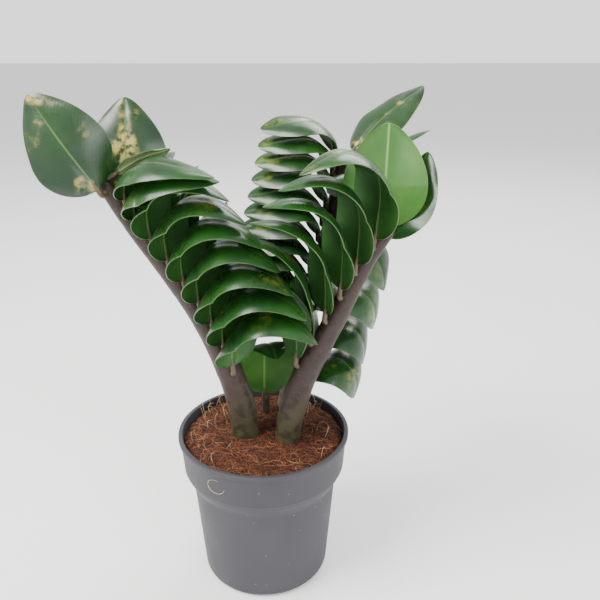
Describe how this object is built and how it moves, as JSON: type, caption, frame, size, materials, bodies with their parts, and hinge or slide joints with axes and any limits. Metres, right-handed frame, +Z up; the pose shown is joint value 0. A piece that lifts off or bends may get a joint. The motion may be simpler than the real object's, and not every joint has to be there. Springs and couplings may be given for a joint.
{
  "type": "potted glossy-leaved plant",
  "caption": "Live house plant with arching fronds of broad, curled glossy leaflets, rooted in coir in a round grey nursery pot.",
  "frame": {"origin": "middle of the whole plant's outline seen from above, on the surface it stands on; the pot's own axis is a little to its right and front", "axes": "+Z up along the pot's axis; -Y is the front, the side with the open view of both large fronds; +X to the right seen from the front"},
  "size_m": [0.249, 0.1316, 0.3407],
  "materials": {
    "pot_plastic": "matt grey with a faint grain and pale specks",
    "coir_soil": "rust-brown loose coconut fibre, matt",
    "stem_skin": "smooth brown-purple skin, greener near the soil, satin",
    "leaf": "glossy deep green above with a pale margin and midrib, matt mid green below",
    "young_leaf": "glossy pale yellow-green"
  },
  "bodies": {
    "root": {"pot": "pot_plastic", "soil": "coir_soil", "left_stem": "stem_skin", "right_stem": "stem_skin", "back_stem": "stem_skin", "small_stem": "stem_skin", "back_crown_leaflet": "leaf", "back_left_leaflet_1": "leaf", "back_left_leaflet_10": "leaf", "back_left_leaflet_11": "leaf", "back_left_leaflet_12": "leaf", "back_left_leaflet_13": "leaf", "back_left_leaflet_2": "leaf", "back_left_leaflet_3": "leaf", "back_left_leaflet_4": "leaf", "back_left_leaflet_5": "leaf", "back_left_leaflet_6": "leaf", "back_left_leaflet_7": "leaf", "back_left_leaflet_8": "leaf", "back_left_leaflet_9": "leaf", "back_right_leaflet_1": "leaf", "back_right_leaflet_2": "leaf", "back_right_leaflet_3": "leaf", "back_right_leaflet_4": "leaf", "back_right_leaflet_5": "leaf", "back_right_leaflet_6": "leaf", "back_tip_leaflet": "leaf", "left_crown_leaflet": "leaf", "left_far_leaflet_1": "leaf", "left_far_leaflet_2": "leaf", "left_far_leaflet_3": "leaf", "left_far_leaflet_4": "leaf", "left_far_leaflet_5": "leaf", "left_far_leaflet_6": "leaf", "left_far_leaflet_7": "leaf", "left_near_leaflet_1": "leaf", "left_near_leaflet_2": "leaf", "left_near_leaflet_3": "leaf", "left_near_leaflet_4": "leaf", "left_near_leaflet_5": "leaf", "left_near_leaflet_6": "leaf", "left_near_leaflet_7": "leaf", "left_tip_leaflet": "leaf", "left_upper_leaflet_1": "leaf", "left_upper_leaflet_2": "leaf", "left_young_leaflet": "young_leaf", "right_crown_leaflet": "leaf", "right_far_leaflet_1": "leaf", "right_far_leaflet_2": "leaf", "right_far_leaflet_3": "leaf", "right_near_leaflet_1": "leaf", "right_near_leaflet_2": "leaf", "right_near_leaflet_3": "leaf", "right_near_leaflet_4": "leaf", "right_near_leaflet_5": "leaf", "right_near_leaflet_6": "leaf", "right_tip_leaflet": "leaf", "small_leaflet": "leaf"}
  },
  "joints": []
}
